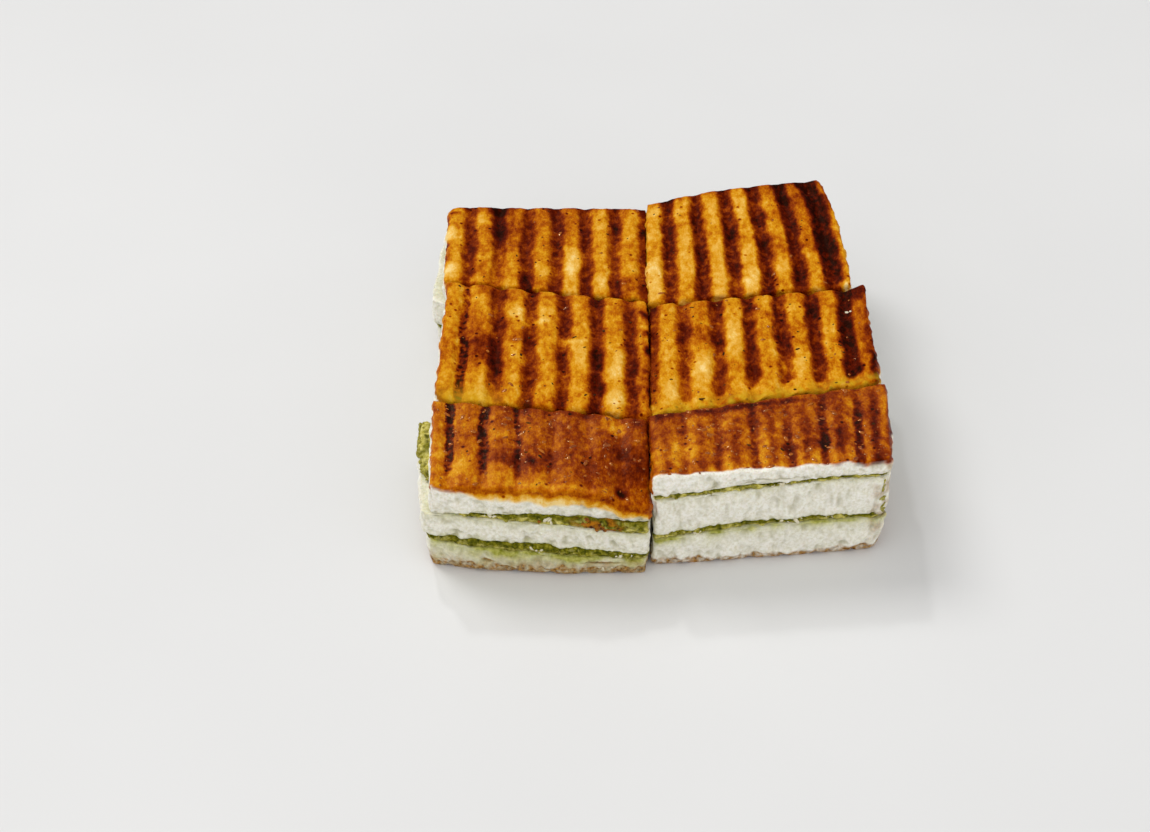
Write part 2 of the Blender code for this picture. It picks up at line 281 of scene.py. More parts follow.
class Layer:
    """One slice or chutney layer of one piece: its mesh and where each vertex lies on it.

    s, t and h run from 0 to 1 to the right, to the back and up. x and y are how far that is
    across and along the outline of the piece, in millimetres.
    """

    def __init__(self, name, index, grain, overlap=0.0):
        """Cut a block finely, then lay it out along the outline of the piece."""
        self.name = name
        self.index = index
        self.overlap = overlap
        self.piece = PIECES[name]
        self.mark_half = MARK_SHARE * self.piece["marks"][1] / 2
        self.width, self.depth = piece_size(self.piece)
        columns, rows, tiers = grain
        block = cut_block(round(self.width / columns), round(self.depth / rows), tiers)
        self.mesh = bpy.data.meshes.new(name + "_" + LAYERS[index])
        block.to_mesh(self.mesh)
        block.free()
        self.count = len(self.mesh.vertices)
        shares = np.empty(self.count * 3, np.float32)
        self.mesh.vertices.foreach_get("co", shares)
        self.s, self.t, self.h = shares.reshape(-1, 3).astype(float).T
        self.points = self.lay_out()

    def lay_out(self):
        """The place of each vertex, in millimetres."""
        left = self.reach("left", self.t)
        right = self.reach("right", self.t)
        front = self.reach("front", self.s)
        back = self.reach("back", self.s)
        across = self.width + left + right
        deep = self.depth + front + back
        self.from_left = self.s * across
        self.from_right = across - self.from_left
        from_front = self.t * deep
        a, b = round_corners(self.from_left, from_front, across, deep, self.piece["radii"])
        u = (a - left) / self.width
        v = (b - front) / self.depth
        self.from_side = np.minimum(self.from_left, self.from_right)
        self.from_end = np.minimum(from_front, deep - from_front)
        self.x = self.s * self.width
        self.y = self.t * self.depth
        low = self.lower_face(u, v)
        high = self.upper_face(u, v)
        self.thickness = high - low
        points = flat_points(self.piece, u, v)
        points[:, 2] = between(low, high, self.h)
        stray_x = WARP * uneven(points, WARP_LENGTH, 7.1)
        stray_y = WARP * uneven(points, WARP_LENGTH, 19.3)
        return points + np.stack((stray_x, stray_y, 0 * stray_x), axis=1) - BLOCK_MIDDLE

    def reach(self, side, t):
        """How far the layer stands out past one side of its piece."""
        reach = through_three(self.piece["reach"].get((LAYERS[self.index], side), (0.0, 0.0, 0.0)), t)
        if side in self.name.split("_"):
            bulge = CHUTNEY_BULGE if LAYERS[self.index].startswith("chutney") else BREAD_BULGE
            reach = reach + bulge * 4 * self.h * (1 - self.h)
        return reach

    def lower_face(self, u, v):
        """Height of the lower face."""
        return level(self.piece, self.index, u, v) - self.overlap

    def upper_face(self, u, v):
        """Height of the upper face."""
        return level(self.piece, self.index + 1, u, v) + self.overlap

    def uneven(self, length, seed):
        """Smooth unevenness at each vertex, from about -1 to 1, in bumps of the given length."""
        return uneven(self.points, length, seed)

    def wall(self, sides=("left", "right", "front", "back")):
        """1 on the walls at these sides and 0 elsewhere."""
        ends = {"left": self.s, "right": 1 - self.s, "front": self.t, "back": 1 - self.t}
        shown = [ends[side] < ON_EDGE for side in sides if side in ends]
        return np.max(shown, axis=0).astype(float)

    def outer_wall(self):
        """1 on the walls that show all round the sandwich, and 0 at the cuts inside it."""
        return self.wall(self.name.split("_"))

    def place(self):
        """Write the points into the mesh, inside the box of the CAD model."""
        low, high = (np.array(corner) / MM for corner in cad_box)
        inside = np.clip(self.points, low, high)
        self.mesh.vertices.foreach_set("co", (inside * MM).astype(np.float32).ravel())
        self.mesh.update()

    def swell(self, amount):
        """Move each vertex out along its normal by an amount in millimetres."""
        self.place()
        normals = np.empty(self.count * 3, np.float32)
        self.mesh.vertices.foreach_get("normal", normals)
        self.points += normals.reshape(-1, 3) * amount[:, None]

    def note(self, title, values):
        """Keep a value for each vertex, for the material to read."""
        attribute = self.mesh.attributes.new(title, "FLOAT", "POINT")
        attribute.data.foreach_set("value", np.clip(values, 0.0, 1.0).astype(np.float32))

    def finish(self, title, material, slot):
        """Make the piece, standing for its CAD node."""
        self.place()
        self.mesh.polygons.foreach_set("use_smooth", np.ones(len(self.mesh.polygons), bool))
        self.mesh.materials.append(material)
        piece = bpy.data.objects.new(self.name + "_" + title, self.mesh)
        bpy.context.scene.collection.objects.link(piece)
        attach(piece, "root")
        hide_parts(self.name + "_" + LAYERS[self.index])


class BottomSlice(Layer):
    """A bottom slice, grilled and rounded underneath."""

    def lower_face(self, u, v):
        """Height of the underside, with its grill marks."""
        low = UNDERSIDE_MARK * mark_profile(self.piece, self.x, self.mark_half)
        low = np.maximum(low, rounding(self.from_left, EDGE_RADIUS))
        low = np.maximum(low, rounding(self.from_right, self.piece.get("tuck", EDGE_RADIUS)))
        return np.maximum(low, rounding(self.from_end, EDGE_RADIUS))


# Holes that the knife left open at the front: how far each is from the left and how high, half
# its length and height, and its depth.
SLITS = {
    ("front_left", 0): (
        (15.4, 4.3, 1.5, 0.6, 0.9),
        (43.4, 4.4, 5.0, 0.35, 0.8),
    ),
    ("front_left", 2): (
        (9.0, 12.6, 1.4, 0.5, 0.6),
    ),
    ("front_right", 4): (
        (30.0, 26.6, 8.0, 0.25, 0.4),
    ),
}


def hollows(layer):
    """Each slit of a layer at each vertex: its share there, from 0 to 1, and its full depth."""
    for x, z, half_length, half_height, deep in SLITS.get((layer.name, layer.index), ()):
        off = ((layer.x - x) / half_length) ** 2 + ((layer.points[:, 2] - z) / half_height) ** 2
        yield np.exp(-off ** 2) * layer.wall(["front"]), deep


# Heights of the relief of a cut crumb.
SWELL = 0.45
TEAR = 0.62
PORE = 1.1
GRIT = 0.24
SINK = 0.1


def crumb_relief(layer, stretch):
    """Pores and torn bumps of a cut crumb, mostly inwards, on the walls alone, with painted shade noted for
    the colour of its pores, hollows and slits.
    """
    squeezed = layer.points * np.array((1.0, 1.0, 1.0 / stretch))
    swells = layer.uneven(6.5, 41.7)
    torn = uneven(squeezed, 2.9, 67.7)
    pores = np.maximum(uneven(squeezed, 1.7, 3.1) - 0.05, 0.0) ** 1.2
    grit = uneven(squeezed, 0.9, 57.3)
    # Painted shade: the crumb is greyed in its pores and torn hollows, where shade falls.
    pore_shade = 1.5 * pores - 0.5 * grit - 0.5 * torn - 0.05
    # The front left bottom slice is greyed more across its middle, with more of the same painted shade.
    if layer.name == "front_left" and layer.index == 0:
        pore_shade = pore_shade + 0.3 * np.exp(-((layer.x - 24) / 16) ** 2)
    depth = SWELL * swells - SINK - PORE * pores + GRIT * grit + TEAR * torn
    # Each slit is sunk in and greyed inside with painted shade.
    for hollow, deep in hollows(layer):
        pore_shade = pore_shade + 1.4 * hollow
        depth = depth - deep * hollow
    # Painted light: the left wall, on the lit side, gets less of the painted shade.
    layer.note("pore_shade", pore_shade * layer.wall() * (1 - 0.6 * layer.wall(["left"])))
    return depth * layer.wall()


# How far chutney soaks into the crumb above it and below it.
SOAKS_UP = 0.7
SOAKS_DOWN = 1.5


def stained(layer, below, above, soaked):
    """How green the crumb is: most beside the chutney below or above it, fading away from it, and less on
    the lit left wall, which is painted paler.
    """
    patches = 0.75 + 0.9 * layer.uneven(4.3, 5.5)
    fray = 0.5 * layer.uneven(1.6, 15.5)
    up = np.maximum(layer.h * layer.thickness + fray, 0.0)
    down = np.maximum((1 - layer.h) * layer.thickness + fray, 0.0)
    stain = below * np.exp(-up / SOAKS_UP) + above * np.exp(-down / SOAKS_DOWN)
    # Painted light: the left wall, on the lit side, keeps less green so that it reads paler.
    lit_left_paler = 1 - 0.7 * layer.wall(["left"])
    return lit_left_paler * (stain * patches + soaked * (1.0 + 0.9 * layer.uneven(3.1, 25.5)))


def srgb(red, green, blue):
    """A colour as Blender wants it, from the values 0 to 255 that a screen shows."""
    shares = (channel / 255 for channel in (red, green, blue))
    linear = [s / 12.92 if s <= 0.04045 else ((s + 0.055) / 1.055) ** 2.4 for s in shares]
    return (*linear, 1.0)


class Nodes:
    """A material's node tree, with short words for what is wired in it."""

    def __init__(self, title):
        self.material = bpy.data.materials.new(title)
        self.material.use_nodes = True
        self.tree = self.material.node_tree
        self.shader = self.tree.nodes["Principled BSDF"]
        coordinates = self.tree.nodes.new("ShaderNodeTexCoord")
        self.object = coordinates.outputs["Object"]

    def wire(self, source, node, socket):
        """Join an output, or set a plain value, on a node's input."""
        if isinstance(source, bpy.types.NodeSocket):
            self.tree.links.new(source, node.inputs[socket])
        else:
            node.inputs[socket].default_value = source

    def gloss(self, amount, tint):
        """How strongly the surface shines, and the tint of its shine."""
        self.wire(amount, self.shader, "Specular IOR Level")
        self.wire((*tint, 1.0), self.shader, "Specular Tint")

    def noted(self, title):
        """The value that the mesh keeps under a title."""
        node = self.tree.nodes.new("ShaderNodeAttribute")
        node.attribute_name = title
        return node.outputs["Fac"]

    def speckle(self, size, detail=3.0, roughness=0.55, stretch=(1.0, 1.0, 1.0)):
        """Noise in bumps of a size in millimetres, from 0 to 1."""
        mapping = self.tree.nodes.new("ShaderNodeMapping")
        mapping.inputs["Scale"].default_value = stretch
        self.wire(self.object, mapping, "Vector")
        node = self.tree.nodes.new("ShaderNodeTexNoise")
        self.wire(mapping.outputs["Vector"], node, "Vector")
        node.inputs["Scale"].default_value = 1 / (size * MM)
        node.inputs["Detail"].default_value = detail
        node.inputs["Roughness"].default_value = roughness
        return node.outputs["Fac"]

    def cells(self, size):
        """Distance from the nearest of scattered points, and a random colour for each."""
        node = self.tree.nodes.new("ShaderNodeTexVoronoi")
        self.wire(self.object, node, "Vector")
        node.inputs["Scale"].default_value = 1 / (size * MM)
        return node.outputs["Distance"], node.outputs["Color"]

    def maths(self, operation, a, b=0.0, c=0.0, clamp=False):
        """One sum."""
        node = self.tree.nodes.new("ShaderNodeMath")
        node.operation = operation
        node.use_clamp = clamp
        for socket, value in enumerate((a, b, c)):
            self.wire(value, node, socket)
        return node.outputs["Value"]

    def spread(self, value, low, high, to_low=0.0, to_high=1.0):
        """Take the range from low to high to another one, clamped."""
        node = self.tree.nodes.new("ShaderNodeMapRange")
        ends = {"From Min": low, "From Max": high, "To Min": to_low, "To Max": to_high}
        for socket, number in ends.items():
            node.inputs[socket].default_value = number
        self.wire(value, node, "Value")
        return node.outputs["Result"]

    def ramp(self, value, stops):
        """A run of colours, each at its place."""
        node = self.tree.nodes.new("ShaderNodeValToRGB")
        elements = node.color_ramp.elements
        elements[0].position, elements[0].color = stops[0]
        elements[1].position, elements[1].color = stops[-1]
        for place, colour in stops[1:-1]:
            elements.new(place).color = colour
        self.wire(value, node, "Fac")
        return node.outputs["Color"]

    def blend(self, share, first, second):
        """Two colours mixed."""
        node = self.tree.nodes.new("ShaderNodeMix")
        node.data_type = "RGBA"
        first_colour, second_colour, mixed_colour = 6, 7, 2
        self.wire(share, node, "Factor")
        self.wire(first, node, first_colour)
        self.wire(second, node, second_colour)
        return node.outputs[mixed_colour]

    def bump(self, height, distance, strength):
        """Small relief of a distance in millimetres."""
        node = self.tree.nodes.new("ShaderNodeBump")
        node.inputs["Strength"].default_value = strength
        node.inputs["Distance"].default_value = distance * MM
        self.wire(height, node, "Height")
        return node.outputs["Normal"]


# How the skin darkens as it is toasted, from 0 for cream to 1 for near black.
TOAST_COLOURS = (
    (0.00, srgb(244, 212, 138)),
    (0.14, srgb(234, 184, 82)),
    (0.32, srgb(216, 149, 20)),
    (0.48, srgb(184, 99, 3)),
    (0.64, srgb(136, 50, 1)),
    (0.80, srgb(88, 16, 0)),
    (1.00, srgb(34, 4, 0)),
)


def crumb_colour(nodes):
    """White crumb, greyed with painted shade in its pores, green where chutney soaked in, and brown at the
    crust and, as painted shade, inside the slits of the bottom slices.
    """
    crumb_tone = nodes.speckle(0.8, detail=4.0, roughness=0.6)
    crumb = nodes.ramp(crumb_tone, ((0.32, srgb(222, 218, 199)), (0.6, srgb(247, 245, 237))))
    # The grey blended in here is painted shade in the pores, torn hollows and slits.
    pore_shade_share = nodes.spread(nodes.noted("pore_shade"), 0.0, 1.0, 0.0, 0.75)
    crumb = nodes.blend(pore_shade_share, crumb, srgb(172, 167, 138))
    green = nodes.ramp(nodes.speckle(1.1), ((0.3, srgb(140, 142, 44)), (0.7, srgb(204, 202, 116))))
    crumb = nodes.blend(nodes.noted("stain"), crumb, green)
    # The crust's brown also fills the slits of the bottom slices, as painted shade.
    crust = nodes.ramp(nodes.speckle(0.6), ((0.32, srgb(88, 52, 14)), (0.66, srgb(186, 142, 78))))
    return nodes.blend(nodes.noted("crust"), crumb, crust)


def skin_colour(nodes):
    """Toasted skin with fine mottling and dark dots, yellow green where it stayed raw."""
    grain = nodes.speckle(0.4, detail=2.0, roughness=0.6, stretch=(1.0, 0.55, 1.0))
    swing = nodes.spread(grain, 0.25, 0.75, -0.08, 0.08)
    patches = nodes.speckle(1.3, detail=1.0, stretch=(1.0, 0.6, 1.0))
    broad = nodes.spread(patches, 0.3, 0.7, -0.08, 0.08)
    tone = nodes.maths("ADD", nodes.noted("toast"), swing)
    tone = nodes.maths("ADD", tone, broad)
    distance, chance = nodes.cells(2.6)
    picked = nodes.maths("GREATER_THAN", chance, 0.68)
    dot = nodes.spread(distance, 0.10, 0.22, 0.34, 0.0)
    tone = nodes.maths("MULTIPLY_ADD", picked, dot, tone)
    toast = nodes.ramp(tone, TOAST_COLOURS)
    return nodes.blend(nodes.noted("raw"), toast, srgb(198, 166, 34))


def make_bread(title, gloss):
    """White crumb under a toasted skin, which shines where it took up butter."""
    nodes = Nodes(title)
    nodes.gloss(gloss, (1.0, 0.55, 0.15))
    nodes.shader.inputs["Subsurface Weight"].default_value = 0.12
    nodes.shader.inputs["Subsurface Radius"].default_value = (1.0, 0.7, 0.4)
    nodes.shader.inputs["Subsurface Scale"].default_value = 1.2 * MM
    skin = nodes.noted("skin")
    colour = nodes.blend(skin, crumb_colour(nodes), skin_colour(nodes))
    nodes.wire(colour, nodes.shader, "Base Color")
    slick = nodes.spread(nodes.speckle(1.6), 0.3, 0.7, 0.62, 0.42)
    slick = nodes.maths("MULTIPLY_ADD", nodes.noted("butter"), -0.22, slick)
    crumb_side = nodes.maths("SUBTRACT", 1.0, skin)
    rough = nodes.maths("MULTIPLY_ADD", crumb_side, 0.5, slick, clamp=True)
    nodes.wire(rough, nodes.shader, "Roughness")
    pores = nodes.speckle(0.55, detail=3.0, roughness=0.6)
    nodes.wire(nodes.bump(pores, 0.22, 0.7), nodes.shader, "Normal")
    return nodes.material


bread = make_bread("toasted white bread", 0.03)


UNDERSIDE_MARK_HALF = 2.9


def toasted_underside(layer):
    """Tone of the underside, golden with browner grill marks."""
    sway = 0.6 * layer.uneven(6.0, 61.0)
    marks = mark_profile(layer.piece, layer.x + sway, UNDERSIDE_MARK_HALF)
    tone = 0.34 + 0.40 * marks * (0.85 + 0.5 * layer.uneven(5.0, 71.0))
    return tone + 0.12 * layer.uneven(9.0, 81.0) + 0.08 * layer.uneven(2.2, 91.0)


CORNER_CRUST_START = 55.5
CORNER_CRUST_FADE = 4.0


def browned_corner(layer):
    """How much crust was left along the front right corner of the sandwich."""
    if layer.name != "front_right":
        return 0.0
    patchy = np.clip(0.5 + 1.3 * layer.uneven(2.0, 44.0), 0.0, 1.0)
    return 0.5 * ease((layer.x - CORNER_CRUST_START) / CORNER_CRUST_FADE) * patchy


def lower_rim(layer, up, browned):
    """How brown the foot of a cut is, in a speckled rim that is thicker towards some corners."""
    thick = 0.9 + 2.0 * browned
    if layer.name == "front_right":
        thick = thick + 0.8 * np.exp(-((layer.x - 7) / 7) ** 2) + 0.8 * np.exp(-((layer.x - 56) / 5) ** 2)
    above_rim = up - thick - 1.3 * layer.uneven(2.6, 33.0)
    patchy = 0.78 + 0.9 * layer.uneven(1.0, 35.0)
    return ease(0.5 - above_rim / 0.8) * np.clip(patchy, 0.2, 1.0)


# For each bottom slice, how green it is under the chutney, how much of that soaked the whole
# cut, and how far the toasting browned it.
PLAIN_BOTTOM = (0.4, 0.02, 0.0)
BOTTOM_STAIN = {
    "front_left": (0.9, 0.34, 0.52),
    "front_right": (0.9, 0.03, 0.0),
}
HAZE_HEIGHT = 6.0

# Sizes of the faces of a mesh, finer where more of it shows, and how many tiers a crumb has.
CRUMB_TIERS = 24
BOTTOM_FRONT_GRAIN = 0.48
BOTTOM_DEEP_GRAIN = 0.5
FRONT_GRAIN = 0.4
FRONT_DEEP_GRAIN = 0.5
PLAIN_GRAIN = 0.6
HIDDEN_GRAIN = 2.4

layers = {}
for name in PIECES:
    across_grain = BOTTOM_FRONT_GRAIN if "front" in name else PLAIN_GRAIN
    slice_ = BottomSlice(name, 0, (across_grain, BOTTOM_DEEP_GRAIN, CRUMB_TIERS))
    above, soaked, browned = BOTTOM_STAIN.get(name, PLAIN_BOTTOM)
    up = slice_.h * slice_.thickness
    crust = lower_rim(slice_, up, browned)
    # Inside the slits the brown of the crust is painted shade.
    for hollow, _ in hollows(slice_):
        crust = np.maximum(crust, hollow)
    hazy = browned * ease(1.1 - up / HAZE_HEIGHT) * (0.7 + 1.2 * slice_.uneven(1.8, 36.0))
    edge = np.minimum(slice_.from_side, slice_.from_end)
    underside = (slice_.h < 0.5) * ease((edge - 0.4 + 0.8 * slice_.uneven(1.5, 37.0)) / 1.2)
    slice_.note("crust", np.maximum(crust, np.maximum(hazy, browned_corner(slice_))))
    slice_.note("skin", underside * (1 - slice_.wall()))
    slice_.note("stain", stained(slice_, 0.0, above, soaked))
    slice_.note("toast", toasted_underside(slice_))
    slice_.swell(crumb_relief(slice_, 1.6))
    slice_.finish("bottom_slice", bread, "bread_crumb")
    layers[name, 0] = slice_


# The lower chutney. Coriander and mint ground to a coarse green paste and spread between the
# slices, so thin that the press squeezed it out in lumps at the cuts.

def make_chutney():
    """Coarse green paste, from dark leaf to yellow green, darkest at the top of each cut, partly as painted
    shade.
    """
    nodes = Nodes("green chutney")
    leaf = nodes.speckle(1.3, detail=5.0, roughness=0.7)
    paste = nodes.ramp(leaf, (
        (0.28, srgb(28, 32, 1)),
        (0.42, srgb(70, 72, 6)),
        (0.55, srgb(116, 112, 18)),
        (0.72, srgb(178, 168, 62)),
    ))
    pale = nodes.ramp(nodes.speckle(0.7), ((0.35, srgb(172, 160, 52)), (0.65, srgb(222, 212, 128))))
    # Where the paste is not smeared pale, at the top of each cut, its dark colour is partly its own and
    # partly painted shade under the slice above.
    paste = nodes.blend(nodes.noted("smear_and_shade"), paste, pale)
    scorch = nodes.ramp(nodes.speckle(1.5), ((0.38, srgb(66, 26, 2)), (0.6, srgb(180, 112, 18))))
    paste = nodes.blend(nodes.noted("toast"), paste, scorch)
    nodes.wire(paste, nodes.shader, "Base Color")
    wet = nodes.spread(nodes.speckle(0.8), 0.3, 0.7, 0.75, 0.45)
    nodes.wire(wet, nodes.shader, "Roughness")
    nodes.gloss(0.12, (1.0, 0.95, 0.4))
    nodes.wire(nodes.bump(nodes.speckle(0.45), 0.25, 0.8), nodes.shader, "Normal")
    return nodes.material


chutney = make_chutney()
CHUTNEY_TIERS = 6
CHUTNEY_OVERLAP = 0.12


def chutney_smear_and_shade(layer, thin):
    """How much the paste shows pale where it was smeared thin: most low in the cut, least under the slice
    above it, where its dark colour is partly painted shade.
    """
    ragged = 1.1 * layer.uneven(1.4, 28.8) + 0.7 * layer.uneven(3.6, 38.8)
    return ease(0.5 + (thin - layer.h + ragged) / 0.9)


def chutney_relief(layer):
    """Lumps of the paste where it shows, in broken clumps on the left of the sandwich."""
    relief = 0.75 * layer.uneven(2.8, 8.8) + 0.60 * layer.uneven(1.1, 18.8) - 0.40
    if "left" in layer.name:
        relief += (1.5 * layer.uneven(4.4, 48.8) - 0.3) * layer.wall(["left"])
    return relief * layer.wall()


def wall_grain(name):
    """Sizes of the faces across and along a piece: fine in front, coarse where cuts hide."""
    if "front" in name:
        return FRONT_GRAIN, FRONT_DEEP_GRAIN
    if "middle" in name:
        return HIDDEN_GRAIN, PLAIN_GRAIN
    return PLAIN_GRAIN, PLAIN_GRAIN


for name in PIECES:
    paste = Layer(name, 1, (*wall_grain(name), CHUTNEY_TIERS), CHUTNEY_OVERLAP)
    # The front right lower paste is smeared pale further up; elsewhere the dark top of the cut is partly
    # painted shade.
    paste.note("smear_and_shade", chutney_smear_and_shade(paste, 0.45 if name == "front_right" else 0.06))
    paste.swell(chutney_relief(paste))
    paste.finish("lower_chutney", chutney, "green_chutney")
    layers[name, 1] = paste


# The middle slices. The same white bread, pressed but never toasted, so that both faces took
# up chutney and only the cut crumb shows.

# How green each is over the lower chutney and under the upper one, and how much of that soaked
# the whole cut.
PLAIN_MIDDLE = (0.3, 0.3, 0.0)
MIDDLE_STAIN = {
    "front_left": (0.5, 0.4, 0.05),
    "front_right": (0.4, 0.3, 0.02),
}

for name in PIECES:
    slice_ = Layer(name, 2, (*wall_grain(name), CRUMB_TIERS))
    slice_.note("crust", browned_corner(slice_) * slice_.wall())
    slice_.note("stain", stained(slice_, *MIDDLE_STAIN.get(name, PLAIN_MIDDLE)))
    slice_.swell(crumb_relief(slice_, 2.4 if name == "front_right" else 1.4))
    slice_.finish("middle_slice", bread, "bread_crumb")
    layers[name, 2] = slice_


# The upper chutney. The same paste as below, squeezed out on the left of the sandwich, and
# scorched by the grill where it ran out at the front of the front left piece.

SCORCHED_MIDDLE = 40.5
SCORCHED_HALF = 7.0
LEDGE_WIDTH = 3.0

for name in PIECES:
    paste = Layer(name, 3, (*wall_grain(name), CHUTNEY_TIERS), CHUTNEY_OVERLAP)
    if name == "front_left":
        near = np.exp(-((paste.x - SCORCHED_MIDDLE) / SCORCHED_HALF) ** 4) * (paste.t < 0.2)
        patches = ease(0.8 + 2.6 * paste.uneven(2.2, 12.0) - 0.5 * paste.h)
        paste.note("toast", near * patches)
    thin = 0.42 if name == "front_right" else 0.22
    if "left" in name:
        patchy = 1.1 + 1.6 * paste.uneven(2.4, 58.8)
        thin = patchy * ease(1.5 - paste.x / LEDGE_WIDTH) + thin
    # The paste is smeared pale low in the cut; its dark top is partly painted shade under the top slice.
    paste.note("smear_and_shade", chutney_smear_and_shade(paste, thin))
    paste.swell(chutney_relief(paste))
    paste.finish("upper_chutney", chutney, "green_chutney")
    layers[name, 3] = paste


# The top slices. White bread buttered and pressed under a ribbed grill, which left soft brown
# grooves from front to back between golden ribs. The front pieces were toasted evenly, and
# only beaded lines show there.

